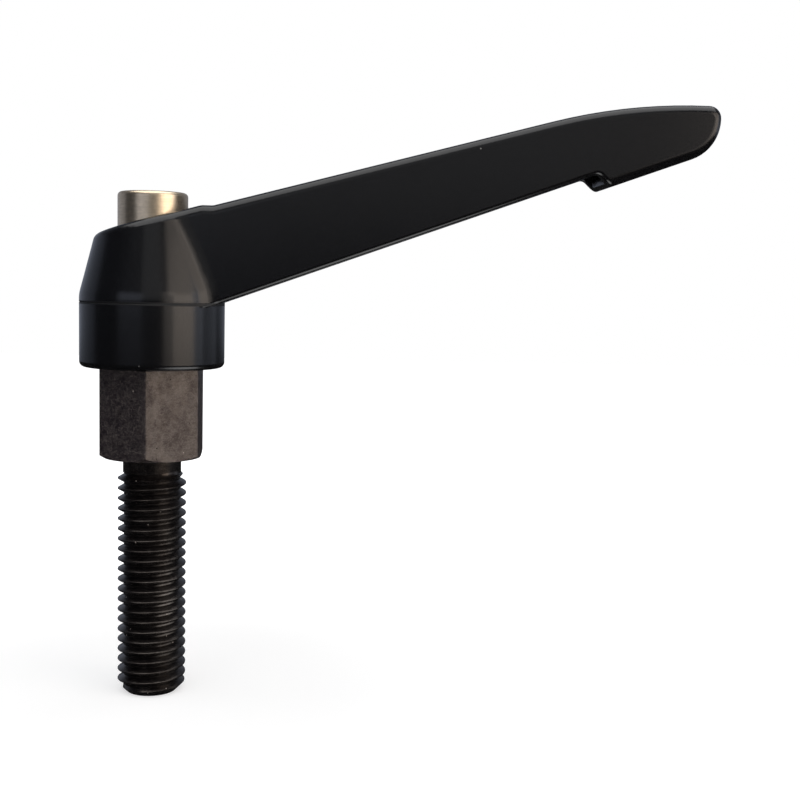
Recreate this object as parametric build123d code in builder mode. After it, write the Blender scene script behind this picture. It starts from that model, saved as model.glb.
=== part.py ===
"""Adjustable clamping lever: a die-cast handle that lifts off a serrated M10 insert.

The origin lies on the stud's axis, in the face that seats on the clamped part.
+Z runs up through the hub and +X runs out along the arm. All sizes are in millimetres.
"""

import os
from math import atan, atan2, cos, degrees, radians, sin, sqrt, tan

from build123d import *

# ---- threaded insert: stud, hexagon and toothed head, turned from one bar ----
stud_diameter = 9.9
stud_length = 35.0
stud_end_chamfer = 1.3
thread_pitch = 1.5
thread_depth = 0.89
thread_angle = 60.0
thread_root_width = 0.28
thread_run_in = 2.3
thread_run_out = 0.6
relief_diameter = 8.4
relief_length = 2.3
hex_across_flats = 14.0
hex_height = 13.0
hex_turn = 31.0
hex_chamfer_circle = 14.0
hex_chamfer_angle = 30.0

# ---- serration between the insert and the handle ----
tooth_count = 24
tooth_root_diameter = 12.9
tooth_tip_diameter = 14.4
tooth_root_share = 0.88
tooth_tip_share = 0.20
tooth_clearance = 0.12
toothed_head_height = 5.8
engaged_length = 3.5
tooth_lead_in = 0.4

# ---- handle: hub ----
hub_seat_gap = 0.18
hub_diameter = 20.75
parting_line_height = 9.27
parting_line_depth = 0.07
parting_line_width = 0.2
parting_line_clearance = 2.0
cone_foot_height = 10.42
cone_half_angle = 14.5
cone_foot_round = 5.0
rim_height_on_axis = 21.15
rim_tilt = 15.6
web_thickness = 3.0
skirt_bore_clearance = 0.3
skirt_edge_round = 0.8
pocket_mouth_round = 0.3

# ---- handle: arm ----
arm_width = 12.3
arm_reach = 81.1
arm_top_drop = 0.41
shoulder_margin = 0.3
shoulder_round = 2.0
arm_top_slope = 15.25
arm_foot_below_cone = 0.85
arm_depth_at_tip = 7.4
crest_run = 24.1
crest_dip = 3.79
tip_upper_radius = 1.8
tip_flat = 0.1
pad_length = 15.7
pad_drop = 2.5
pad_ramp = 1.9
step_round = 1.0
arm_edge_round = 1.3
shank_edge_round = 0.6
root_round = 4.0
channel_wall = 1.7
channel_roof = 3.2
channel_corner_round = 1.2
channel_roof_round = 0.8
channel_lip_round = 0.2
channel_hub_wall = 2.0
channel_past_step = 1.3

# ---- retaining screw, M6 x 20 with a hexagon socket ----
screw_diameter = 6.0
screw_length = 20.0
screw_head_diameter = 10.0
screw_head_height = 6.0
screw_head_round = 0.6
screw_end_chamfer = 0.8
socket_across_flats = 5.0
socket_depth = 3.0
drill_point_angle = 118.0
drill_tip_radius = 0.1
tapped_clearance = 0.05
tapped_extra_depth = 2.0
shank_clearance = 0.3
head_clearance = 0.35

# ---- spring ----
spring_wire = 1.0
spring_mean_diameter = 7.8
spring_turns = 5.5
spring_fitted_length = 10.5
spring_end_gap = 0.03

# ---- heights and places worked out from the values above ----
hub_bottom = hex_height + hub_seat_gap
toothed_head_top = hex_height + toothed_head_height
web_top = toothed_head_top + web_thickness
head_seat = web_top + spring_fitted_length
head_top = head_seat + screw_head_height
screw_end = head_seat - screw_length
cone_foot = hub_bottom + cone_foot_height
rim_on_axis = hub_bottom + rim_height_on_axis
pocket_diameter = screw_head_diameter + 2 * head_clearance
tooth_pitch = 360.0 / tooth_count
# Two lengths closer than this count as the same one where an edge is looked up by its place.
same_place = 0.01


def toothed_ring(root_diameter, tip_diameter, extra_width):
    """Draw a disc with pointed teeth round it, in the sketch that is being built."""
    Circle(root_diameter / 2)
    root_half = radians(tooth_pitch * tooth_root_share / 2)
    tip_half = radians(tooth_pitch * tooth_tip_share / 2)
    # The flank starts a little inside the disc, so that each tooth is joined to it.
    foot = root_diameter / 2 * cos(root_half) - tooth_clearance
    foot_half = root_diameter / 2 * sin(root_half) + extra_width
    tip = tip_diameter / 2
    tip_half_width = tip * sin(tip_half) + extra_width
    with PolarLocations(0, tooth_count, start_angle=hex_turn):
        Polygon(
            (foot, -foot_half),
            (tip, -tip_half_width),
            (tip, tip_half_width),
            (foot, foot_half),
            align=None,
        )


# ---- threaded insert ----
chamfer_drop = (hex_across_flats / cos(radians(30)) - hex_chamfer_circle) / 2
chamfer_drop *= tan(radians(hex_chamfer_angle))
hex_corner_radius = hex_across_flats / cos(radians(30)) / 2

with BuildPart() as threaded_insert:
    with BuildSketch(Plane.XY):
        RegularPolygon(hex_across_flats / 2, 6, major_radius=False, rotation=hex_turn)
    extrude(amount=hex_height)

    # The hexagon's corners are turned back to a circle at the end that seats.
    with BuildSketch(Plane.XZ):
        with BuildLine():
            Polyline(
                (0, 0),
                (hex_chamfer_circle / 2, 0),
                (hex_corner_radius, chamfer_drop),
                (hex_corner_radius, hex_height),
                (0, hex_height),
                close=True,
            )
        make_face()
    revolve(axis=Axis.Z, mode=Mode.INTERSECT)

    # The stud is turned with a chamfered end.
    with BuildSketch(Plane.XZ):
        with BuildLine():
            Polyline(
                (0, 0),
                (stud_diameter / 2, 0),
                (stud_diameter / 2, -stud_length + stud_end_chamfer),
                (stud_diameter / 2 - stud_end_chamfer, -stud_length),
                (0, -stud_length),
                close=True,
            )
        make_face()
    revolve(axis=Axis.Z)

    # Its right-hand thread is one groove, cut from below the end up into the relief. The cutter
    # stands a little proud of the crests, by less than would let neighbouring turns meet.
    thread_root = stud_diameter / 2 - thread_depth
    thread_start = -stud_length - thread_run_in
    thread_end = -relief_length - thread_run_out
    flank_rise = tan(radians(thread_angle / 2))
    crest_width = thread_pitch - thread_root_width - 2 * thread_depth * flank_rise
    cutter_height = thread_depth + crest_width / (4 * flank_rise)
    cutter_half_width = thread_root_width / 2 + cutter_height * flank_rise
    with BuildLine(Plane.XY.offset(thread_start).rotated((0, 0, 90))) as thread_line:
        Helix(thread_pitch, thread_end - thread_start, thread_root)
    cutter_plane = Plane(thread_line.line @ 0, x_dir=(0, 1, 0), z_dir=thread_line.line % 0)
    with BuildSketch(cutter_plane):
        Polygon(
            (0, -thread_root_width / 2),
            (cutter_height, -cutter_half_width),
            (cutter_height, cutter_half_width),
            (0, thread_root_width / 2),
            align=None,
        )
    sweep(is_frenet=True, mode=Mode.SUBTRACT)

    # A relief under the hexagon takes the thread's last turn away.
    with BuildSketch(Plane.XZ):
        with BuildLine():
            Polyline(
                (relief_diameter / 2, 0),
                (stud_diameter / 2, 0),
                (stud_diameter / 2, -relief_length - (stud_diameter - relief_diameter) / 2),
                (relief_diameter / 2, -relief_length),
                close=True,
            )
        make_face()
    revolve(axis=Axis.Z, mode=Mode.SUBTRACT)

    # The toothed head keys the handle.
    with BuildSketch(Plane.XY.offset(hex_height)):
        toothed_ring(tooth_root_diameter, tooth_tip_diameter, 0)
    extrude(amount=toothed_head_height)
    with BuildSketch(Plane.XZ):
        with BuildLine():
            Polyline(
                (tooth_tip_diameter / 2 - tooth_lead_in, toothed_head_top),
                (tooth_tip_diameter / 2 + tooth_lead_in, toothed_head_top),
                (tooth_tip_diameter / 2 + tooth_lead_in, toothed_head_top - 2 * tooth_lead_in),
                close=True,
            )
        make_face()
    revolve(axis=Axis.Z, mode=Mode.SUBTRACT)

    # The blind hole for the retaining screw.
    with Locations((0, 0, toothed_head_top)):
        Hole(screw_diameter / 2 + tapped_clearance, depth=toothed_head_top - screw_end + tapped_extra_depth)
threaded_insert.part.label = "threaded_insert"

# ---- handle: the arm's blank ----
# The upper line starts just under the rim, and the lower one leaves the hub just under its cone.
top_on_axis = rim_on_axis - arm_top_drop
top_rise = tan(radians(arm_top_slope))
top_at_reach = top_on_axis + arm_reach * top_rise
foot_height = cone_foot - arm_foot_below_cone
bottom_rise = (top_at_reach - arm_depth_at_tip - foot_height) / (arm_reach - hub_diameter / 2)
bottom_on_axis = foot_height - hub_diameter / 2 * bottom_rise
pad_x = arm_reach - pad_length
ramp_x = pad_x - pad_ramp


def arm_top(x):
    """Height of the arm's straight upper edge at a distance from the axis."""
    return top_on_axis + x * top_rise


def arm_bottom(x):
    """Height of the shank's straight lower edge at a distance from the axis."""
    return bottom_on_axis + x * bottom_rise


# The lower radius at the tip takes all of the end's height that the upper one leaves.
end_height = arm_depth_at_tip - crest_dip + pad_drop
lower_turn = radians(90) - atan(bottom_rise)
tip_lower_radius = (end_height - tip_upper_radius - tip_flat) / tan(lower_turn / 2)

rim_rise = tan(radians(rim_tilt))
rim_plane = Plane(origin=(0, 0, rim_on_axis), z_dir=(-rim_rise, 0, 1))
cone_rise = tan(radians(cone_half_angle))

# The cone meets the tilted rim plane furthest out on the arm's side. The arm's upper edge
# leaves that plane just beyond it, and runs level until it meets its own slope.
rim_reach = (hub_diameter / 2 - (rim_on_axis - cone_foot) * cone_rise) / (1 + rim_rise * cone_rise)
shoulder_start = rim_reach + shoulder_margin
shoulder_height = rim_on_axis + shoulder_start * rim_rise
shoulder_end = (shoulder_height - top_on_axis) / top_rise

with BuildPart() as lever:
    # Hub: a cylinder that tapers into a cone, cut off by the tilted rim plane.
    with BuildSketch(Plane.XZ) as hub_profile:
        with BuildLine():
            Polyline(
                (0, hub_bottom),
                (hub_diameter / 2, hub_bottom),
                (hub_diameter / 2, cone_foot),
                (hub_diameter / 2 - rim_height_on_axis * cone_rise, cone_foot + rim_height_on_axis),
                (0, cone_foot + rim_height_on_axis),
                close=True,
            )
        make_face()
        skirt_corner = hub_profile.vertices().sort_by_distance((hub_diameter / 2, hub_bottom))[0]
        fillet(skirt_corner, skirt_edge_round)
        cone_corner = hub_profile.vertices().sort_by_distance((hub_diameter / 2, cone_foot))[0]
        fillet(cone_corner, cone_foot_round)
    revolve(axis=Axis.Z)
    split(bisect_by=rim_plane, keep=Keep.BOTTOM)

    # Arm: its side view, extruded to both sides.
    with BuildSketch(Plane.XZ) as arm_profile:
        with BuildLine():
            crest_start = (arm_reach - crest_run, arm_top(arm_reach - crest_run))
            crest_end = (arm_reach, top_at_reach - crest_dip)
            Polyline(
                (0, rim_on_axis),
                (shoulder_start, shoulder_height),
                (shoulder_end, shoulder_height),
                crest_start,
            )
            TangentArc(crest_start, crest_end, tangent=(1, top_rise))
            Polyline(
                crest_end,
                (arm_reach, arm_bottom(arm_reach) - pad_drop),
                (pad_x, arm_bottom(pad_x) - pad_drop),
                (ramp_x, arm_bottom(ramp_x)),
                (0, bottom_on_axis),
                (0, rim_on_axis),
            )
        make_face()
        tip_foot = (arm_reach, arm_bottom(arm_reach) - pad_drop)
        fillet(arm_profile.vertices().sort_by_distance(tip_foot)[0], tip_lower_radius)
        fillet(arm_profile.vertices().sort_by_distance(crest_end)[0], tip_upper_radius)
        step_foot = (ramp_x, arm_bottom(ramp_x))
        fillet(arm_profile.vertices().sort_by_distance(step_foot)[0], step_round)
        for shoulder_x in (shoulder_start, shoulder_end):
            shoulder = (shoulder_x, shoulder_height)
            fillet(arm_profile.vertices().sort_by_distance(shoulder)[0], shoulder_round)
    extrude(amount=arm_width / 2, both=True)

    # Wide roundings blend the arm's sides into the cone.
    half_width = arm_width / 2
    seams = lever.edges(Select.NEW)
    fillet(seams.filter_by(lambda e: abs((e @ 0.5).Y) > half_width - same_place), root_round)

    # One rounding follows the rim, the crest, the tip and the pad.
    side_edges = lever.faces().filter_by(Axis.Y).edges()
    fillet(side_edges.filter_by(lambda e: (e @ 0.5).X > pad_x), arm_edge_round)

    # A finer one follows the shank's lower edges and its step.
    lower_edges = lever.faces().filter_by(Axis.Y).edges().filter_by(GeomType.LINE)
    lower_edges = lower_edges.filter_by(
        lambda e: hub_diameter / 2 < (e @ 0.5).X < pad_x
        and abs((e @ 0.5).Z - arm_bottom((e @ 0.5).X)) < pad_drop
    )
    fillet(lower_edges, shank_edge_round)

    # The shank is cored from below, between two side walls and under a roof. The core runs
    # on into the step, so it opens an arch in the ramp.
    channel_start = hub_diameter / 2 + channel_hub_wall
    channel_end = ramp_x + channel_past_step
    roof_drop = channel_roof / cos(radians(arm_top_slope))
    with BuildSketch(Plane.XZ):
        with BuildLine():
            Polyline(
                (channel_start, arm_bottom(channel_start) - channel_wall),
                (channel_start, arm_top(channel_start) - roof_drop),
                (channel_end, arm_top(channel_end) - roof_drop),
                (channel_end, arm_bottom(channel_end) - pad_drop),
                close=True,
            )
        make_face()
    extrude(amount=half_width - channel_wall, both=True, mode=Mode.SUBTRACT)
    inner_wall = half_width - channel_wall + same_place

    def channel_top(x):
        """Height of the channel's roof at a distance from the axis."""
        return arm_top(x) - roof_drop

    def in_channel(edge, height_at):
        """Tell whether an edge's middle lies inside the channel, at the height given for its x."""
        middle = edge @ 0.5
        between = channel_start - same_place < middle.X < channel_end + same_place
        return between and abs(middle.Y) < inner_wall and abs(middle.Z - height_at(middle.X)) < same_place

    upright = lever.edges().filter_by(Axis.Z).filter_by(lambda e: abs((e @ 0.5).Y) < inner_wall)
    fillet(upright, channel_corner_round)
    fillet(lever.edges().filter_by(lambda e: in_channel(e, channel_top)), channel_roof_round)
    fillet(lever.edges().filter_by(lambda e: in_channel(e, arm_bottom)), channel_lip_round)

    # Bore: a plain mouth, the teeth that key the insert, the web's hole and the spring pocket.
    mouth_radius = tooth_tip_diameter / 2 + tooth_clearance + skirt_bore_clearance
    teeth_bottom = toothed_head_top - engaged_length
    with BuildSketch(Plane.XZ):
        with BuildLine():
            Polyline(
                (0, hub_bottom),
                (mouth_radius + skirt_bore_clearance, hub_bottom),
                (mouth_radius, hub_bottom + skirt_bore_clearance),
                (mouth_radius, teeth_bottom - skirt_bore_clearance),
                (tooth_root_diameter / 2, teeth_bottom + tooth_lead_in),
                (0, teeth_bottom + tooth_lead_in),
                close=True,
            )
        make_face()
    revolve(axis=Axis.Z, mode=Mode.SUBTRACT)
    with BuildSketch(Plane.XY.offset(teeth_bottom - skirt_bore_clearance)):
        toothed_ring(
            tooth_root_diameter + 2 * tooth_clearance,
            tooth_tip_diameter + 2 * tooth_clearance,
            tooth_clearance,
        )
    extrude(amount=engaged_length + skirt_bore_clearance, mode=Mode.SUBTRACT)
    with BuildSketch(Plane.XY.offset(toothed_head_top)):
        Circle(screw_diameter / 2 + shank_clearance)
    extrude(amount=web_thickness, mode=Mode.SUBTRACT)
    with BuildSketch(Plane.XY.offset(web_top)):
        Circle(pocket_diameter / 2)
    rim_crest = rim_on_axis + hub_diameter / 2 * rim_rise
    extrude(amount=rim_crest - web_top, mode=Mode.SUBTRACT)
    mouth = lever.edges().filter_by(GeomType.ELLIPSE).filter_by(
        lambda e: abs(rim_plane.to_local_coords(e @ 0.5).Z) < same_place
    )
    fillet(mouth.sort_by_distance((0, 0, rim_on_axis))[0], pocket_mouth_round)

    # A fine line round the hub shows where the two halves of the mould met. It runs from one of
    # the arm's roundings to the other, so its ends stand just clear of where those leave the hub.
    root_y = half_width + root_round
    root_x = sqrt((hub_diameter / 2 + root_round) ** 2 - root_y**2)
    line_start = degrees(atan2(root_y, root_x)) + parting_line_clearance
    with BuildSketch(Plane.XZ.rotated((0, 0, line_start), ordering=Extrinsic.XYZ)):
        with BuildLine():
            line_height = hub_bottom + parting_line_height
            Polyline(
                (hub_diameter / 2 + parting_line_depth, line_height - parting_line_width),
                (hub_diameter / 2 - parting_line_depth, line_height),
                (hub_diameter / 2 + parting_line_depth, line_height + parting_line_width),
                close=True,
            )
        make_face()
    revolve(axis=Axis.Z, revolution_arc=360 - 2 * line_start, mode=Mode.SUBTRACT)
lever.part.label = "lever"

# ---- retaining screw ----
with BuildPart() as retaining_screw:
    with BuildSketch(Plane.XY.offset(head_seat)):
        Circle(screw_head_diameter / 2)
    extrude(amount=screw_head_height)
    fillet(retaining_screw.edges().sort_by(Axis.Z)[-1], screw_head_round)
    with BuildSketch(Plane.XY.offset(head_seat)):
        Circle(screw_diameter / 2)
    extrude(amount=-screw_length)
    chamfer(retaining_screw.edges().sort_by(Axis.Z)[0], screw_end_chamfer)
    with BuildSketch(Plane.XY.offset(head_top - socket_depth)):
        RegularPolygon(socket_across_flats / 2, 6, major_radius=False)
    extrude(amount=socket_depth, mode=Mode.SUBTRACT)
    # The drill that started the socket leaves a cone in its floor.
    with Locations((0, 0, head_top - socket_depth)):
        drill_depth = socket_across_flats / 2 / tan(radians(drill_point_angle / 2))
        Cone(
            drill_tip_radius,
            socket_across_flats / 2,
            drill_depth,
            align=(Align.CENTER, Align.CENTER, Align.MAX),
            mode=Mode.SUBTRACT,
        )
retaining_screw.part.label = "retaining_screw"

# ---- spring: a helix whose ends are ground flat ----
spring_bottom = web_top + spring_end_gap
spring_top = head_seat - spring_end_gap
spring_pitch = (spring_top - spring_bottom) / spring_turns
with BuildPart() as spring:
    with BuildLine(Plane.XY.offset(spring_bottom)) as spring_line:
        Helix(spring_pitch, spring_top - spring_bottom, spring_mean_diameter / 2)
    with BuildSketch(Plane(origin=spring_line.line @ 0, z_dir=spring_line.line % 0)):
        Circle(spring_wire / 2)
    sweep(is_frenet=True)
    split(bisect_by=Plane.XY.offset(spring_bottom), keep=Keep.TOP)
    split(bisect_by=Plane.XY.offset(spring_top), keep=Keep.BOTTOM)
spring.part.label = "spring"

os.makedirs("parts", exist_ok=True)
export_step(threaded_insert.part, "parts/threaded_insert.step")
export_step(lever.part, "parts/lever.step")
export_step(retaining_screw.part, "parts/retaining_screw.step")
export_step(spring.part, "parts/spring.step")
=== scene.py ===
"""Looks of the adjustable clamping lever: a powder-coated handle on a threaded steel insert.

Each sub-assembly is a class with its sizes in millimetres. Each finish is a frozen class that
writes one procedural material. The studio classes lay the floor, hang the lamps and set the
camera.
"""

import logging
import math
from dataclasses import dataclass
from enum import Enum

import bmesh
import bpy
from mathutils import Matrix, Vector


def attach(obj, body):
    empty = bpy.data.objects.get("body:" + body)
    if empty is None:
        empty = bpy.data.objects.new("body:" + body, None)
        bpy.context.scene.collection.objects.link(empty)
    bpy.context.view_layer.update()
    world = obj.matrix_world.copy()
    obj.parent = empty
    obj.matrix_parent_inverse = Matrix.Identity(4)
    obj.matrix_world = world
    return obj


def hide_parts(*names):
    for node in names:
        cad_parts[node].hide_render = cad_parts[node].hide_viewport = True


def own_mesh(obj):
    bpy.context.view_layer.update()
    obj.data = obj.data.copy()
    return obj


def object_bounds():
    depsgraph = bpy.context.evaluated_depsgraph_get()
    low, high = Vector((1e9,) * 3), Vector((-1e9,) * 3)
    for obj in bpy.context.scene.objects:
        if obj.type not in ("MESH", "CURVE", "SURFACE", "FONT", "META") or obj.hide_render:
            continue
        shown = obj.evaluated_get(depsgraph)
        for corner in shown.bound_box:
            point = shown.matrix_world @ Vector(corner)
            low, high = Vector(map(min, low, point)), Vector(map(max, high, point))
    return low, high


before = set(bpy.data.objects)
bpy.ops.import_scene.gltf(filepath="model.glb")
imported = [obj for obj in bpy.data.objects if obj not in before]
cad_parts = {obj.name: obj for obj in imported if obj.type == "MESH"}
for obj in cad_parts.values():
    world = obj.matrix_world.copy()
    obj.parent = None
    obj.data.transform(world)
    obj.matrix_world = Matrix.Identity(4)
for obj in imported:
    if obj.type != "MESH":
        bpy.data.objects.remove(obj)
CAD_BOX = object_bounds()

LOG = logging.getLogger("clamping_lever")

MM = 0.001
# Points of a turned skin this close are merged, and points this near a cutting plane lie on it.
WELD = 0.0005 * MM
ON_PLANE = 0.0001 * MM

Socket = bpy.types.NodeSocket
Colour = tuple[float, float, float, float]
Pair = tuple[float, float]


class Axis(Enum):
    """Axes that pieces are turned round, as unit vectors."""

    Z = (0.0, 0.0, 1.0)


class InsertSlot(Enum):
    """The insert's material slots."""

    FLATS = 0
    THREAD = 1


def linear(code: str) -> Colour:
    """Turn an sRGB hex colour into linear values.

    Args:
        code: Six hex digits, such as "1a1a1b".

    Returns:
        Linear red, green and blue, and a full alpha.
    """
    # The sRGB standard's curve is straight near black and a power above that.
    parts = [int(code[i:i + 2], 16) / 255 for i in (0, 2, 4)]
    red, green, blue = (c / 12.92 if c <= 0.04045 else ((c + 0.055) / 1.055) ** 2.4 for c in parts)
    return red, green, blue, 1.0


def per_mm(size: float) -> float:
    """Texture scale, on coordinates in metres, whose features are this many millimetres wide."""
    return 1.0 / (size * MM)


def add_node(tree: bpy.types.NodeTree, kind: str, inputs: dict | None = None,
             **settings: object) -> bpy.types.Node:
    """Add one node with its settings, and set or link its inputs.

    Args:
        tree: The node tree that gets the node.
        kind: The node's type, such as "ShaderNodeTexNoise".
        inputs: Input names or numbers, each with a value or the socket that feeds it.
        **settings: Properties of the node itself.

    Returns:
        The new node.
    """
    node = tree.nodes.new(kind)
    for name, value in settings.items():
        setattr(node, name, value)
    for key, value in (inputs or {}).items():
        if isinstance(value, Socket):
            tree.links.new(value, node.inputs[key])
        else:
            node.inputs[key].default_value = value
    return node


def open_nodes(owner: bpy.types.Material | bpy.types.World) -> bpy.types.NodeTree:
    """Clear the nodes of a new material or world.

    Args:
        owner: The material or world.

    Returns:
        Its empty node tree.
    """
    owner.use_nodes = True
    owner.node_tree.nodes.clear()
    return owner.node_tree


def laid_over(tree: bpy.types.NodeTree, ground: str, *coats: tuple[Socket, str]) -> Socket:
    """Lay colours over a ground colour, one after another.

    Args:
        tree: The node tree.
        ground: The ground's hex colour.
        *coats: How much of each coat there is, from 0 to 1, and its hex colour.

    Returns:
        The colour that shows.
    """
    colour = linear(ground)
    for amount, code in coats:
        coated = add_node(tree, "ShaderNodeMix", {"Factor": amount, "A": colour, "B": linear(code)},
                          data_type="RGBA")
        colour = coated.outputs["Result"]
    return colour


def mirrored_rays(tree: bpy.types.NodeTree, path: bpy.types.Node) -> Socket:
    """Pick out the rays that a surface has mirrored or let through.

    Args:
        tree: The node tree.
        path: Its Light Path node.

    Returns:
        A value that is 1 for such a ray.
    """
    either = add_node(tree, "ShaderNodeMath", {0: path.outputs["Is Glossy Ray"],
                                               1: path.outputs["Is Transmission Ray"]}, operation="MAXIMUM")
    return either.outputs[0]


# Charged powder is sprayed on the casting and baked until it flows into one skin. The skin hides
# the metal's grain, so the eye gets a deep black, a soft gloss that breaks up in fine orange peel,
# and a dull line where the flash was trimmed.
@dataclass(frozen=True)
class PowderCoat:
    """Satin black polyester powder, with sizes in millimetres and spans of each texture's values."""

    name: str = "satin_black_powder_coat"
    colour: str = "08080a"
    thin_colour: str = "0d0d0f"
    patch_size: float = 7.0
    ior: float = 1.5
    roughness: float = 0.21
    smoother_by: float = 0.03
    rougher_by: float = 0.04
    grain_size: float = 0.22
    grain_span: Pair = (0.3, 0.7)
    peel_size: float = 0.9
    peel_softness: float = 0.55
    peel_share: float = 2.2
    peel_height: float = 0.0012
    dust_colour: str = "8f8f8c"
    dust_spacing: float = 2.2
    dust_edge: Pair = (0.028, 0.055)
    dusty_area_size: float = 9.0
    dusty_area_span: Pair = (0.55, 0.66)
    parting_height: float = 22.45
    parting_width: float = 0.22
    parting_fade: float = 1.3
    parting_roughness: float = 0.55

    def pigment(self, tree: bpy.types.NodeTree, place: Socket) -> Socket:
        """Colour the coat.

        Args:
            tree: The material's nodes.
            place: Object coordinates.

        Returns:
            The coat's colour, with its dust.
        """
        # The film runs a little thinner in patches, which lets it look slightly paler there.
        patches = add_node(tree, "ShaderNodeTexNoise", {"Vector": place, "Scale": per_mm(self.patch_size),
                                                        "Detail": 3.0})
        # A few dust grains have settled on the coat, only in some areas.
        cells = add_node(tree, "ShaderNodeTexVoronoi", {"Vector": place, "Scale": per_mm(self.dust_spacing)})
        core, rim = self.dust_edge
        speck = add_node(tree, "ShaderNodeMapRange", {"Value": cells.outputs["Distance"], "From Min": core,
                                                      "From Max": rim, "To Min": 1.0, "To Max": 0.0})
        areas = add_node(tree, "ShaderNodeTexNoise", {"Vector": place, "Detail": 1.0,
                                                      "Scale": per_mm(self.dusty_area_size)})
        clean, dusty = self.dusty_area_span
        area = add_node(tree, "ShaderNodeMapRange", {"Value": areas.outputs["Fac"], "From Min": clean,
                                                     "From Max": dusty})
        dust = add_node(tree, "ShaderNodeMath", {0: speck.outputs["Result"], 1: area.outputs["Result"]},
                        operation="MULTIPLY")
        return laid_over(tree, self.colour, (patches.outputs["Fac"], self.thin_colour),
                         (dust.outputs[0], self.dust_colour))

    def sheen(self, tree: bpy.types.NodeTree, place: Socket, grain: Socket) -> Socket:
        """Work out how rough the coat's surface is.

        Args:
            tree: The material's nodes.
            place: Object coordinates.
            grain: The coat's finest noise.

        Returns:
            The roughness.
        """
        smooth, rough = self.grain_span
        gloss = add_node(tree, "ShaderNodeMapRange", {"Value": grain, "From Min": smooth, "From Max": rough,
                                                      "To Min": self.roughness - self.smoother_by,
                                                      "To Max": self.roughness + self.rougher_by})
        # Where the mould's halves met, the trimmed flash leaves the coat dull.
        split = add_node(tree, "ShaderNodeSeparateXYZ", {0: place})
        beside = add_node(tree, "ShaderNodeMath", {0: split.outputs["Z"], 1: self.parting_height * MM},
                          operation="SUBTRACT")
        away = add_node(tree, "ShaderNodeMath", {0: beside.outputs[0]}, operation="ABSOLUTE")
        dull = add_node(tree, "ShaderNodeMapRange", {"Value": away.outputs[0],
                                                     "From Min": self.parting_width * MM,
                                                     "From Max": self.parting_fade * self.parting_width * MM,
                                                     "To Min": self.parting_roughness, "To Max": 0.0})
        rougher = add_node(tree, "ShaderNodeMath", {0: gloss.outputs["Result"], 1: dull.outputs["Result"]},
                           operation="MAXIMUM")
        return rougher.outputs[0]

    def material(self) -> bpy.types.Material:
        """Write the coat's material.

        Returns:
            The material.
        """
        made = bpy.data.materials.new(self.name)
        tree = open_nodes(made)
        place = add_node(tree, "ShaderNodeTexCoord").outputs["Object"]
        # The finest break-up of the gloss. Its size was given, not taken from the powder's grain.
        grain = add_node(tree, "ShaderNodeTexNoise", {"Vector": place, "Scale": per_mm(self.grain_size),
                                                      "Detail": 2.0}).outputs["Fac"]
        peel = add_node(tree, "ShaderNodeTexNoise", {"Vector": place, "Scale": per_mm(self.peel_size),
                                                     "Detail": 2.0, "Roughness": self.peel_softness})
        height = add_node(tree, "ShaderNodeMath", {0: peel.outputs["Fac"], 1: self.peel_share, 2: grain},
                          operation="MULTIPLY_ADD")
        bump = add_node(tree, "ShaderNodeBump", {"Height": height.outputs[0],
                                                 "Distance": self.peel_height * MM})
        shader = add_node(tree, "ShaderNodeBsdfPrincipled", {"Base Color": self.pigment(tree, place),
                                                             "Roughness": self.sheen(tree, place, grain),
                                                             "IOR": self.ior,
                                                             "Normal": bump.outputs["Normal"]})
        add_node(tree, "ShaderNodeOutputMaterial", {"Surface": shader.outputs[0]})
        return made


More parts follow.
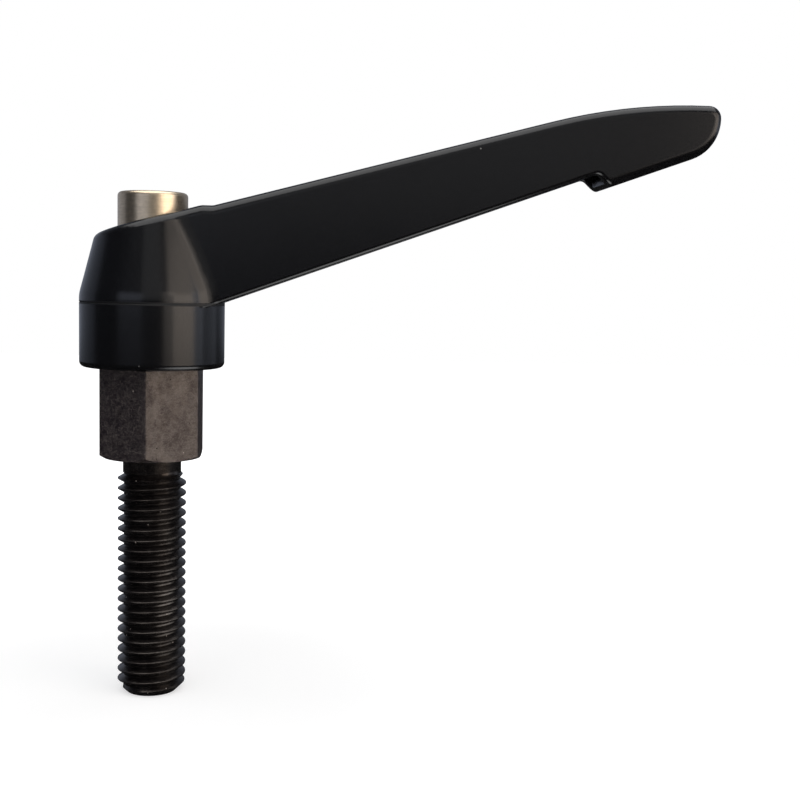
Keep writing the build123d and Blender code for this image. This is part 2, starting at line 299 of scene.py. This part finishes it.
# Machined steel is boiled in oxidising salts and oiled. The film is thin magnetite, so what the
# tools and handling left below it still shows: the eye gets near black with a patchy shine, fine
# pale lines, dark pits and a few bare grains.
@dataclass(frozen=True)
class BlackOxide:
    """Oiled black oxide, with sizes in millimetres and spans of each texture's values.

    The film is a strongly refracting skin, not bare metal, and its patches mirror by anything from
    dull to bright. Each of scuff_runs is a direction in degrees from level, and how much narrower
    than long its marks are.
    """

    name: str
    film: str = "1b161d"
    worn: str = "241d20"
    scuff: str = "a39a92"
    pit: str = "080707"
    dull: str = "b4a69c"
    bright: str = "fff2e6"
    roughness: float = 0.34
    ior: float = 2.1
    mottle_size: float = 2.4
    mottle_softness: float = 0.78
    mottle_span: Pair = (0.40, 0.60)
    mottle_share: float = 1.6
    relief: float = 0.0080
    scuff_length: float = 1.1
    scuff_edge: Pair = (0.003, 0.012)
    scuff_skew: float = 0.4
    scuff_runs: tuple[Pair, ...] = ((6, 2.0), (52, 1.6), (-38, 2.4))
    scuff_amount: float = 0.7
    scuff_paling: float = 0.34
    scuff_dulling: float = 0.5
    pit_spacing: float = 0.85
    pit_edge: Pair = (0.07, 0.14)
    pit_lots_above: float = 0.78
    grain_lots_below: float = 0.10

    def lines(self, tree: bpy.types.NodeTree, place: Socket, turn_by: float, narrow: float) -> Socket:
        """Draw fine wavering lines that run mostly one way: the middle level of a drawn-out noise.

        Args:
            tree: The material's nodes.
            place: Object coordinates.
            turn_by: Direction of the lines, in degrees from level.
            narrow: How many times longer than high the noise is.

        Returns:
            A value that is 1 on a line.
        """
        rotation = (0, math.radians(turn_by), self.scuff_skew)
        turned = add_node(tree, "ShaderNodeMapping", {"Vector": place, "Rotation": rotation,
                                                      "Scale": (1.0, 1.0, narrow)})
        waves = add_node(tree, "ShaderNodeTexNoise", {"Vector": turned.outputs[0], "Detail": 2.0,
                                                      "Scale": per_mm(self.scuff_length)})
        off_level = add_node(tree, "ShaderNodeMath", {0: waves.outputs["Fac"], 1: 0.5}, operation="SUBTRACT")
        off_line = add_node(tree, "ShaderNodeMath", {0: off_level.outputs[0]}, operation="ABSOLUTE")
        core, rim = self.scuff_edge
        line = add_node(tree, "ShaderNodeMapRange", {"Value": off_line.outputs[0], "From Min": core,
                                                     "From Max": rim, "To Min": 1.0, "To Max": 0.0})
        return line.outputs["Result"]

    def scuffs(self, tree: bpy.types.NodeTree, place: Socket) -> Socket:
        """Cross lines of three directions, as spanners and swarf leave them.

        Args:
            tree: The material's nodes.
            place: Object coordinates.

        Returns:
            A value that is 1 on a scuff.
        """
        first, *others = (self.lines(tree, place, *run) for run in self.scuff_runs)
        for other in others:
            first = add_node(tree, "ShaderNodeMath", {0: first, 1: other}, operation="MAXIMUM").outputs[0]
        return first

    def spots(self, tree: bpy.types.NodeTree, place: Socket) -> tuple[Socket, Socket]:
        """Scatter small round spots, and sort them into pits and bare grains.

        Args:
            tree: The material's nodes.
            place: Object coordinates.

        Returns:
            A value that is 1 in a pit, and one that is 1 on a grain.
        """
        cells = add_node(tree, "ShaderNodeTexVoronoi", {"Vector": place, "Scale": per_mm(self.pit_spacing)})
        core, rim = self.pit_edge
        spot = add_node(tree, "ShaderNodeMapRange", {"Value": cells.outputs["Distance"], "From Min": core,
                                                     "From Max": rim, "To Min": 1.0, "To Max": 0.0})
        lot = add_node(tree, "ShaderNodeSeparateXYZ", {0: cells.outputs["Color"]}).outputs["X"]
        deep = add_node(tree, "ShaderNodeMath", {0: lot, 1: self.pit_lots_above}, operation="GREATER_THAN")
        bare = add_node(tree, "ShaderNodeMath", {0: lot, 1: self.grain_lots_below}, operation="LESS_THAN")
        pits, grains = (add_node(tree, "ShaderNodeMath", {0: spot.outputs["Result"], 1: kind.outputs[0]},
                                 operation="MULTIPLY").outputs[0] for kind in (deep, bare))
        return pits, grains

    def material(self) -> bpy.types.Material:
        """Write the oxide's material.

        Returns:
            The material.
        """
        made = bpy.data.materials.new(self.name)
        tree = open_nodes(made)
        place = add_node(tree, "ShaderNodeTexCoord").outputs["Object"]
        mottle = add_node(tree, "ShaderNodeTexNoise", {"Vector": place, "Scale": per_mm(self.mottle_size),
                                                       "Detail": 8.0, "Roughness": self.mottle_softness})
        least, most = self.mottle_span
        rubbed = add_node(tree, "ShaderNodeMapRange", {"Value": mottle.outputs["Fac"], "From Min": least,
                                                       "From Max": most}).outputs["Result"]
        scuffs = self.scuffs(tree, place)
        pits, grains = self.spots(tree, place)
        paling, dulling = (add_node(tree, "ShaderNodeMath", {0: scuffs, 1: share * self.scuff_amount},
                                    operation="MULTIPLY").outputs[0]
                           for share in (self.scuff_paling, self.scuff_dulling))
        # Rubbing and scuffs pale the film, pits stay dark, and the grains have lost their film.
        colour = laid_over(tree, self.film, (rubbed, self.worn), (paling, self.scuff), (pits, self.pit),
                           (grains, self.scuff))
        # The film shines in patches, less along the scuffs and hardly in the pits.
        shine = laid_over(tree, self.dull, (rubbed, self.bright), (dulling, self.pit), (pits, self.pit))
        height = add_node(tree, "ShaderNodeMath", {0: mottle.outputs["Fac"], 1: self.mottle_share,
                                                   2: scuffs}, operation="MULTIPLY_ADD")
        bump = add_node(tree, "ShaderNodeBump", {"Height": height.outputs[0], "Distance": self.relief * MM})
        shader = add_node(tree, "ShaderNodeBsdfPrincipled", {"Base Color": colour, "IOR": self.ior,
                                                             "Roughness": self.roughness,
                                                             "Specular Tint": shine,
                                                             "Normal": bump.outputs["Normal"]})
        add_node(tree, "ShaderNodeOutputMaterial", {"Surface": shader.outputs[0]})
        return made


# A lathe's tool leaves fine rings round a bright steel piece. They smear each mirrored lamp along
# the axis, so the eye gets warm grey metal with soft upright bands of light. The spring's wire
# takes the same finish in a cooler grey.
@dataclass(frozen=True)
class TurnedStainless:
    """Plain turned stainless steel, with sizes in millimetres and spans of each texture's values."""

    name: str
    colour: str = "efdcc0"
    shade: str = "d8c6aa"
    roughness: float = 0.30
    ring_spacing: float = 0.12
    ring_height: float = 0.0026
    across_rings: float = 0.06
    cloud_size: float = 0.6
    tone_span: Pair = (0.12, 0.4)

    def material(self) -> bpy.types.Material:
        """Write the turned steel's material.

        Returns:
            The material.
        """
        made = bpy.data.materials.new(self.name)
        tree = open_nodes(made)
        place = add_node(tree, "ShaderNodeTexCoord").outputs["Object"]
        # The rings' spacing was given. They are too fine to show singly and only smear the light.
        flattened = (self.across_rings, self.across_rings, 1.0)
        drawn_round = add_node(tree, "ShaderNodeMapping", {"Vector": place, "Scale": flattened})
        rings = add_node(tree, "ShaderNodeTexNoise", {"Vector": drawn_round.outputs[0], "Detail": 2.0,
                                                      "Scale": per_mm(self.ring_spacing)})
        cloud = add_node(tree, "ShaderNodeTexNoise", {"Vector": place, "Scale": per_mm(self.cloud_size),
                                                      "Detail": 3.0})
        clouded = add_node(tree, "ShaderNodeMath", {0: rings.outputs["Fac"], 1: cloud.outputs["Fac"]},
                           operation="MULTIPLY")
        least, most = self.tone_span
        tone = add_node(tree, "ShaderNodeMapRange", {"Value": clouded.outputs[0], "From Min": least,
                                                     "From Max": most})
        bump = add_node(tree, "ShaderNodeBump", {"Height": rings.outputs["Fac"],
                                                 "Distance": self.ring_height * MM})
        colour = laid_over(tree, self.shade, (tone.outputs["Result"], self.colour))
        shader = add_node(tree, "ShaderNodeBsdfPrincipled", {"Base Color": colour, "Metallic": 1.0,
                                                             "Roughness": self.roughness,
                                                             "Normal": bump.outputs["Normal"]})
        add_node(tree, "ShaderNodeOutputMaterial", {"Surface": shader.outputs[0]})
        return made


def dress(piece: bpy.types.Object, *finishes: bpy.types.Material) -> None:
    """Give a piece its materials, one per slot.

    Args:
        piece: The object to dress.
        *finishes: The materials, in the order of the slots.
    """
    # Clearing the slots sets every face back to the first one, so a bare mesh isn't cleared.
    if piece.data.materials:
        piece.data.materials.clear()
    for finish in finishes:
        piece.data.materials.append(finish)


def finished(bm: bmesh.types.BMesh, name: str, sharp_angle: float) -> bpy.types.Object:
    """Turn a bmesh into a linked object with smooth faces and crisp edges.

    Args:
        bm: The shape; it is freed.
        name: The piece's name.
        sharp_angle: Edges that turn by more than this many degrees stay crisp.

    Returns:
        The new object, at the origin.
    """
    bmesh.ops.recalc_face_normals(bm, faces=bm.faces)
    mesh = bpy.data.meshes.new(name)
    bm.to_mesh(mesh)
    bm.free()
    mesh.shade_smooth()
    mesh.set_sharp_from_angle(angle=math.radians(sharp_angle))
    piece = bpy.data.objects.new(name, mesh)
    bpy.context.scene.collection.objects.link(piece)
    return piece


def chain(bm: bmesh.types.BMesh, points: list[Pair]) -> list:
    """Add half of a section as a chain of edges in the XZ plane.

    Args:
        bm: The shape that gets the chain.
        points: Radius and height of each corner, in millimetres.

    Returns:
        The new vertices and edges.
    """
    verts = [bm.verts.new((radius * MM, 0.0, height * MM)) for radius, height in points]
    edges = [bm.edges.new(pair) for pair in zip(verts, verts[1:])]
    return verts + edges


def turn(bm: bmesh.types.BMesh, points: list[Pair], steps: int) -> None:
    """Turn half of a section round the Z axis, as a lathe does.

    Args:
        bm: The shape that gets the turned skin.
        points: Radius and height of each corner, in millimetres.
        steps: Faces in one turn.
    """
    bmesh.ops.spin(bm, geom=chain(bm, points), cent=(0, 0, 0), axis=Axis.Z.value, dvec=(0, 0, 0),
                   angle=math.tau, steps=steps, use_merge=True, use_duplicate=False)
    bmesh.ops.remove_doubles(bm, verts=bm.verts, dist=WELD)


def cut(bm: bmesh.types.BMesh, point: Vector, normal: Vector) -> None:
    """Cut a closed shape with a plane, drop what lies beyond it and close the cut.

    Args:
        bm: The shape to cut.
        point: A point of the plane, in metres.
        normal: The plane's normal, which points at what is dropped.
    """
    geometry = bm.verts[:] + bm.edges[:] + bm.faces[:]
    result = bmesh.ops.bisect_plane(bm, geom=geometry, dist=ON_PLANE, plane_co=point, plane_no=normal,
                                    clear_outer=True)
    rim = [item for item in result["geom_cut"] if isinstance(item, bmesh.types.BMEdge)]
    bmesh.ops.holes_fill(bm, edges=rim, sides=0)


def raise_by(bm: bmesh.types.BMesh, verts: list, height: float) -> None:
    """Move points up by this many millimetres."""
    bmesh.ops.translate(bm, verts=verts, vec=(0, 0, height * MM))


@dataclass
class TurnedInsert:
    """The insert in one piece: threaded stud, milled hexagon and toothed head.

    Sizes are in millimetres and angles in degrees, and the hexagon's lower face is at height 0.
    The thread is wound from below the stud's end up into the hexagon, then cut off at both.
    """

    across_flats: float = 14.0
    hex_height: float = 13.0
    hex_turn: float = 31.0
    chamfer_circle: float = 14.0
    chamfer_angle: float = 30.0
    corner_break: float = 0.12
    bar_allowance: float = 0.05
    bar_allowance_drop: float = 0.03
    bar_steps: int = 180
    stud_length: float = 35.0
    stud_into_hex: float = 0.2
    end_chamfer: float = 1.3
    relief_diameter: float = 8.4
    relief_length: float = 2.3
    thread_pitch: float = 1.5
    thread_crest: float = 9.9
    thread_root: float = 8.12
    thread_start: float = -37.675
    flank_angle: float = 30.0
    root_width: float = 0.28
    thread_steps: int = 96
    thread_weld: float = 0.002
    crest_round_across: float = 0.045
    crest_round_middle: Pair = (0.03, 0.008)
    crest_round_down: float = 0.1
    root_round_up: float = 0.05
    root_round_across: float = 0.03
    tooth_count: int = 24
    tooth_root: float = 12.9
    tooth_tip: float = 14.4
    tooth_root_share: float = 0.88
    tooth_tip_share: float = 0.20
    head_height: float = 5.8
    head_lead_in: float = 0.4
    near: float = 0.01
    sharp_angle: float = 28.0

    def is_corner(self, edge: bmesh.types.BMEdge) -> bool:
        """Tell whether an edge of the milled bar is an upright corner or lies round its top.

        Args:
            edge: The edge.

        Returns:
            True for such an edge.
        """
        first, second = (vert.co for vert in edge.verts)
        upright = (first - second).xy.length < self.near * MM
        at_top = min(first.z, second.z) > (self.hex_height - self.near) * MM
        return (upright and edge.calc_length() > self.hex_height / 2 * MM
                or at_top and edge.calc_length() > self.across_flats / 4 * MM)

    def hexagon(self) -> bmesh.types.BMesh:
        """Turn a bar with one chamfered end, then mill the six flats on it.

        Returns:
            The hexagon's shape.
        """
        flat_angle = 60
        corner = self.across_flats / 2 / math.cos(math.radians(flat_angle / 2))
        inner = self.chamfer_circle / 2
        drop = (corner - inner) * math.tan(math.radians(self.chamfer_angle))
        bar = corner + self.bar_allowance
        section = [(0, 0), (inner, 0), (bar, drop + self.bar_allowance_drop), (bar, self.hex_height),
                   (0, self.hex_height)]
        bm = bmesh.new()
        turn(bm, section, self.bar_steps)
        for flat in range(360 // flat_angle):
            angle = math.radians(self.hex_turn + flat_angle / 2 + flat_angle * flat)
            normal = Vector((math.cos(angle), math.sin(angle), 0))
            cut(bm, normal * self.across_flats / 2 * MM, normal)
        broken = [edge for edge in bm.edges if self.is_corner(edge)]
        bmesh.ops.bevel(bm, geom=broken, offset=self.corner_break * MM, affect="EDGES", segments=2,
                        profile=0.5, material=-1)
        return bm

    def thread_section(self) -> list[Pair]:
        """Draw one pitch of the thread, from root to root, with its edges rounded.

        Returns:
            Radius and height of each point, in millimetres.
        """
        crest, root, half_pitch = self.thread_crest / 2, self.thread_root / 2, self.thread_pitch / 2
        slope = math.tan(math.radians(self.flank_angle))
        half_root = self.root_width / 2
        half_crest = half_pitch - half_root - (crest - root) * slope
        middle_down, middle_out = self.crest_round_middle
        side = [
            (crest, half_crest - self.crest_round_across),
            (crest - middle_down, half_crest + middle_out),
            (crest - self.crest_round_down, half_crest + self.crest_round_down * slope),
            (root + self.root_round_up, half_crest + (crest - root - self.root_round_up) * slope),
            (root, half_pitch - half_root + self.root_round_across),
            (root, half_pitch),
        ]
        return ([(radius, half_pitch - height) for radius, height in reversed(side)]
                + [(radius, half_pitch + height) for radius, height in side])

    def envelope(self, height: float) -> float:
        """Work out how far the lathe leaves the stud standing at one height.

        Args:
            height: The height, in millimetres.

        Returns:
            The radius, in millimetres.
        """
        crest = self.thread_crest / 2
        below_relief = self.relief_diameter / 2 + max(0.0, -self.relief_length - height)
        end = crest - self.end_chamfer + (height + self.stud_length)
        return min(crest, below_relief, end)

    def stud(self) -> bmesh.types.BMesh:
        """Wind the thread's section round the stud, then turn the relief and the end.

        Returns:
            The stud's shape.
        """
        bm = bmesh.new()
        section = [(radius, height + self.thread_start) for radius, height in self.thread_section()]
        bmesh.ops.spin(bm, geom=chain(bm, section), cent=(0, 0, 0), axis=Axis.Z.value,
                       dvec=(0, 0, self.thread_pitch * MM / self.thread_steps), angle=math.tau,
                       steps=self.thread_steps, use_duplicate=False)
        first_turn = bm.verts[:] + bm.edges[:] + bm.faces[:]
        for turns in range(1, math.ceil(-self.thread_start / self.thread_pitch) + 1):
            copied = bmesh.ops.duplicate(bm, geom=first_turn)
            moved = [item for item in copied["geom"] if isinstance(item, bmesh.types.BMVert)]
            raise_by(bm, moved, turns * self.thread_pitch)
        bmesh.ops.remove_doubles(bm, verts=bm.verts, dist=self.thread_weld * MM)
        cut(bm, Vector((0, 0, -self.stud_length * MM)), Vector((0, 0, -1)))
        cut(bm, Vector((0, 0, self.stud_into_hex * MM)), Vector((0, 0, 1)))
        for vert in bm.verts:
            height, radius = vert.co.z / MM, vert.co.xy.length / MM
            in_relief = height > -self.relief_length
            wanted = self.relief_diameter / 2 if in_relief else min(radius, self.envelope(height))
            vert.co.xy = vert.co.xy * (wanted / radius)
        return bm

    def toothed_head(self) -> bmesh.types.BMesh:
        """Shape the round of pointed teeth that keys the handle, without the hole that the screw fills.

        Returns:
            The toothed head's shape.
        """
        root, tip = self.tooth_root / 2 * MM, self.tooth_tip / 2 * MM
        # A tooth's four corners: the place of each, as a share of one tooth's angle, and its radius.
        foot, point = self.tooth_root_share / 2, self.tooth_tip_share / 2
        tooth_corners = ((-foot, root), (-point, tip), (point, tip), (foot, root))
        bm = bmesh.new()
        made = bmesh.ops.create_circle(bm, cap_ends=True, segments=self.tooth_count * len(tooth_corners),
                                       radius=root)
        tooth_angle = math.tau / self.tooth_count
        for vert in made["verts"]:
            step = round(math.atan2(vert.co.y, vert.co.x) / (tooth_angle / len(tooth_corners)))
            tooth, corner = divmod(step, len(tooth_corners))
            share, radius = tooth_corners[corner]
            angle = math.radians(self.hex_turn) + (tooth + share) * tooth_angle
            vert.co = Vector((math.cos(angle) * radius, math.sin(angle) * radius, self.hex_height * MM))
        grown = bmesh.ops.extrude_face_region(bm, geom=bm.faces[:])["geom"]
        top = [item for item in grown if isinstance(item, bmesh.types.BMVert)]
        raise_by(bm, top, self.head_height - self.head_lead_in)
        lid = [item for item in grown if isinstance(item, bmesh.types.BMFace)]
        bmesh.ops.inset_region(bm, faces=lid, thickness=self.head_lead_in * MM, use_even_offset=True)
        raise_by(bm, list({vert for face in lid for vert in face.verts}), self.head_lead_in)
        return bm

    def build(self) -> bpy.types.Object:
        """Join the insert's three lengths in one piece and dress it.

        Returns:
            The finished insert.
        """
        lengths = ((self.hexagon(), InsertSlot.FLATS), (self.stud(), InsertSlot.THREAD),
                   (self.toothed_head(), InsertSlot.FLATS))
        whole = bmesh.new()
        for part, slot in lengths:
            for face in part.faces:
                face.material_index = slot.value
            length = bpy.data.meshes.new("length")
            part.to_mesh(length)
            part.free()
            whole.from_mesh(length)
            bpy.data.meshes.remove(length)
        piece = finished(whole, "insert_with_thread", self.sharp_angle)
        # The thread has a darker, glossier and less scuffed film than the flats.
        thread = BlackOxide("black_oxide_thread", film="060507", worn="100e0f", roughness=0.25,
                            scuff_amount=0.1, relief=0.0014, ior=1.75)
        dress(piece, BlackOxide("black_oxide_flats").material(), thread.material())
        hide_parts("threaded_insert")
        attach(piece, "insert")
        return piece


@dataclass
class Casting:
    """The die-cast handle, which keeps the frame's own shape."""

    node: str = "lever"

    def build(self) -> bpy.types.Object:
        """Coat the casting.

        Returns:
            The handle.
        """
        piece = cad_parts[self.node]
        dress(piece, PowderCoat().material())
        return piece


@dataclass
class Fastening:
    """The retaining screw and the spring under its head, with the frame's own shapes.

    The spring's ends and the handle's lift are in millimetres.
    """

    screw_node: str = "retaining_screw"
    spring_node: str = "spring"
    spring_bottom: float = 21.83
    spring_top: float = 32.27
    lift: float = 4.2

    def build(self) -> list[bpy.types.Object]:
        """Give the screw and the spring their steel, and the spring a mesh of its own.

        Returns:
            The screw and the spring.
        """
        screw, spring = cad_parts[self.screw_node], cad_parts[self.spring_node]
        dress(screw, TurnedStainless("turned_stainless").material())
        wire = TurnedStainless("spring_wire", colour="8f8f90", shade="707072", roughness=0.32)
        dress(spring, wire.material())
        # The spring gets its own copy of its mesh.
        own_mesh(spring)
        return [screw, spring]


@dataclass
class Surround:
    """A white backdrop for the camera, and for the part a dim room that is brighter behind it.

    The span is of how far backward a direction points, from -1 to 1.
    """

    tint: str = "e2ebff"
    backward_span: Pair = (-0.2, 0.9)
    mirrored_strengths: Pair = (0.03, 0.26)
    fill_strength: float = 0.06

    def build(self) -> None:
        """Write the world's nodes."""
        world = bpy.data.worlds.new("white_surround")
        bpy.context.scene.world = world
        tree = open_nodes(world)
        path = add_node(tree, "ShaderNodeLightPath")
        facing = add_node(tree, "ShaderNodeTexCoord").outputs["Generated"]
        split = add_node(tree, "ShaderNodeSeparateXYZ", {0: facing})
        front, back = self.backward_span
        dim, bright = self.mirrored_strengths
        behind = add_node(tree, "ShaderNodeMapRange", {"Value": split.outputs["Y"], "From Min": front,
                                                       "From Max": back, "To Min": dim, "To Max": bright})
        seen = add_node(tree, "ShaderNodeMath", {0: mirrored_rays(tree, path), 1: behind.outputs["Result"]},
                        operation="MULTIPLY")
        white = add_node(tree, "ShaderNodeMath", {0: path.outputs["Is Camera Ray"], 1: seen.outputs[0]},
                         operation="MAXIMUM")
        strength = add_node(tree, "ShaderNodeMath", {0: white.outputs[0], 1: self.fill_strength},
                            operation="MAXIMUM")
        tint = laid_over(tree, self.tint, (path.outputs["Is Camera Ray"], "ffffff"))
        light = add_node(tree, "ShaderNodeBackground", {"Color": tint, "Strength": strength.outputs[0]})
        add_node(tree, "ShaderNodeOutputWorld", {"Surface": light.outputs[0]})


@dataclass
class PaperFloor:
    """White paper at the stud's end, with sizes in millimetres.

    The camera sees it glow a little less round the stud, so that the part's shadow stays on it.
    In gloss it is a bright patch under the arm that falls off into a dim room.
    """

    height: float
    size: float = 1600.0
    paper: str = "f2f2f2"
    veil: str = "bcbcbc"
    seen_centre: Pair = (0.0, 0.0)
    seen_span: Pair = (25.0, 110.0)
    seen_strengths: Pair = (0.63, 1.0)
    mirrored_centre: Pair = (57.0, -28.0)
    mirrored_span: Pair = (20.0, 50.0)
    mirrored_strengths: Pair = (2.6, 0.02)

    def glow(self, tree: bpy.types.NodeTree, centre: Pair, span: Pair, strengths: Pair) -> Socket:
        """Let the paper give off light that changes smoothly with the distance from a centre.

        Args:
            tree: The material's nodes.
            centre: The centre on the floor, in millimetres.
            span: The distances between which the light changes, in millimetres.
            strengths: The light at the nearer and at the farther distance.

        Returns:
            The glow's shader.
        """
        place = add_node(tree, "ShaderNodeTexCoord").outputs["Object"]
        middle = (centre[0] * MM, centre[1] * MM, self.height * MM)
        away = add_node(tree, "ShaderNodeVectorMath", {0: place, 1: middle}, operation="DISTANCE")
        strength = add_node(tree, "ShaderNodeMapRange", {"Value": away.outputs["Value"],
                                                         "From Min": span[0] * MM, "From Max": span[1] * MM,
                                                         "To Min": strengths[0], "To Max": strengths[1]},
                            interpolation_type="SMOOTHSTEP")
        light = add_node(tree, "ShaderNodeEmission", {"Color": linear("ffffff"),
                                                      "Strength": strength.outputs["Result"]})
        return light.outputs[0]

    def material(self) -> bpy.types.Material:
        """Write the paper's material.

        Returns:
            The material.
        """
        made = bpy.data.materials.new("white_paper")
        tree = open_nodes(made)
        path = add_node(tree, "ShaderNodeLightPath")
        paper = add_node(tree, "ShaderNodeBsdfDiffuse", {"Color": linear(self.paper)})
        veil = add_node(tree, "ShaderNodeBsdfDiffuse", {"Color": linear(self.veil)})
        glow = self.glow(tree, self.seen_centre, self.seen_span, self.seen_strengths)
        seen = add_node(tree, "ShaderNodeAddShader", {0: glow, 1: veil.outputs[0]})
        mirror = self.glow(tree, self.mirrored_centre, self.mirrored_span, self.mirrored_strengths)
        unseen = add_node(tree, "ShaderNodeMixShader", {0: mirrored_rays(tree, path), 1: paper.outputs[0],
                                                        2: mirror})
        final = add_node(tree, "ShaderNodeMixShader", {0: path.outputs["Is Camera Ray"],
                                                       1: unseen.outputs[0], 2: seen.outputs[0]})
        add_node(tree, "ShaderNodeOutputMaterial", {"Surface": final.outputs[0]})
        return made

    def build(self) -> bpy.types.Object:
        """Lay the paper.

        Returns:
            The floor.
        """
        bm = bmesh.new()
        bmesh.ops.create_grid(bm, x_segments=1, y_segments=1, size=self.size / 2 * MM)
        raise_by(bm, bm.verts[:], self.height)
        piece = finished(bm, "floor", sharp_angle=30)
        dress(piece, self.material())
        return piece


@dataclass
class SoftPanel:
    """A soft lamp that faces the part: a flat panel that the camera doesn't see.

    Its bearing is in degrees from the front to the right and its rise in degrees above level.
    Spread and reach are how wide and how high it looks from the part, in degrees. Its distance
    is in millimetres.
    """

    name: str
    bearing: float
    rise: float
    spread: float
    reach: float
    radiance: float
    colour: str = "ffffff"
    distance: float = 600.0

    def side(self, angle: float) -> float:
        """Length, in metres, that looks this many degrees wide from the part."""
        return 2 * self.distance * math.tan(math.radians(angle / 2)) * MM

    def hang(self, target: Vector) -> bpy.types.Object:
        """Hang the panel so that it faces a point.

        Args:
            target: The point, in metres.

        Returns:
            The lamp.
        """
        bearing, rise = math.radians(self.bearing), math.radians(self.rise)
        away = Vector((math.sin(bearing) * math.cos(rise), -math.cos(bearing) * math.cos(rise),
                       math.sin(rise)))
        lamp = bpy.data.lights.new(self.name, "AREA")
        lamp.shape = "RECTANGLE"
        lamp.size, lamp.size_y = self.side(self.spread), self.side(self.reach)
        lamp.energy = self.radiance * math.pi * lamp.size * lamp.size_y
        lamp.color = linear(self.colour)[:3]
        hung = bpy.data.objects.new(self.name, lamp)
        bpy.context.scene.collection.objects.link(hung)
        hung.location = target + away * self.distance * MM
        hung.rotation_euler = away.to_track_quat("Z", "Y").to_euler()
        hung.visible_camera = False
        return hung


@dataclass
class View:
    """The camera, with its place in millimetres and its angles in degrees."""

    place: tuple[float, float, float] = (25.24, -179.57, 25.78)
    bearing: float = 3.52
    pitch: float = 5.366
    roll: float = 1.281
    lens: float = 54.91
    sensor_width: float = 36.0
    clip: Pair = (0.01, 10.0)

    def build(self) -> None:
        """Set the camera up."""
        lens = bpy.data.cameras.new("camera")
        lens.sensor_fit = "HORIZONTAL"
        lens.sensor_width = self.sensor_width
        lens.lens = self.lens
        lens.clip_start, lens.clip_end = self.clip
        seat = bpy.data.objects.new("camera", lens)
        bpy.context.scene.collection.objects.link(seat)
        seat.matrix_world = (Matrix.Translation(Vector(self.place) * MM)
                             @ Matrix.Rotation(math.radians(-self.bearing), 4, "Z")
                             @ Matrix.Rotation(math.radians(90 - self.pitch), 4, "X")
                             @ Matrix.Rotation(math.radians(self.roll), 4, "Z"))
        bpy.context.scene.camera = seat


@dataclass
class Studio:
    """The surround, the floor, the soft panels and the camera, with places in millimetres."""

    floor_height: float
    lamp_target: tuple[float, float, float] = (20, 0, 20)
    warm: str = "fff0e2"
    cool: str = "e6eeff"

    def panels(self) -> list[SoftPanel]:
        """List the panels: warm from the front right, cool at the sides and behind, plain elsewhere.

        Returns:
            The panels.
        """
        return [
            SoftPanel("key_right", bearing=57, rise=1, spread=36, reach=32, radiance=2.5, colour=self.warm),
            SoftPanel("key_high", bearing=56, rise=25, spread=42, reach=16, radiance=1.7, colour=self.warm),
            SoftPanel("key_edge", bearing=32, rise=6, spread=18, reach=40, radiance=0.95, colour="fff4ea"),
            SoftPanel("side_right", bearing=83, rise=4, spread=18, reach=38, radiance=1.0, colour=self.cool),
            SoftPanel("far_right", bearing=108, rise=-4, spread=40, reach=20, radiance=0.36,
                      colour=self.cool),
            SoftPanel("fill_left", bearing=-29, rise=10, spread=38, reach=20, radiance=0.68,
                      colour="e4ebff"),
            SoftPanel("front", bearing=4, rise=24, spread=30, reach=40, radiance=0.30),
            SoftPanel("back_left", bearing=-125, rise=-2, spread=64, reach=46, radiance=0.18,
                      colour="dce6ff"),
            SoftPanel("top", bearing=15, rise=80, spread=80, reach=66, radiance=1.9),
        ]

    def build(self) -> None:
        """Set the whole studio up."""
        Surround().build()
        PaperFloor(self.floor_height).build()
        for panel in self.panels():
            panel.hang(Vector(self.lamp_target) * MM)
        View().build()
        bpy.context.scene.view_settings.view_transform = "Standard"


def main() -> None:
    """Build, dress and light the part, and report each piece."""
    logging.basicConfig(level=logging.INFO, format="%(name)s: %(message)s")
    Studio(floor_height=CAD_BOX[0][2] / MM).build()
    LOG.info("studio set up")
    pieces = [Casting().build(), TurnedInsert().build(), *Fastening().build()]
    for piece in pieces:
        LOG.info("%s: %d faces", piece.name, len(piece.data.polygons))


if __name__ == "__main__":
    main()
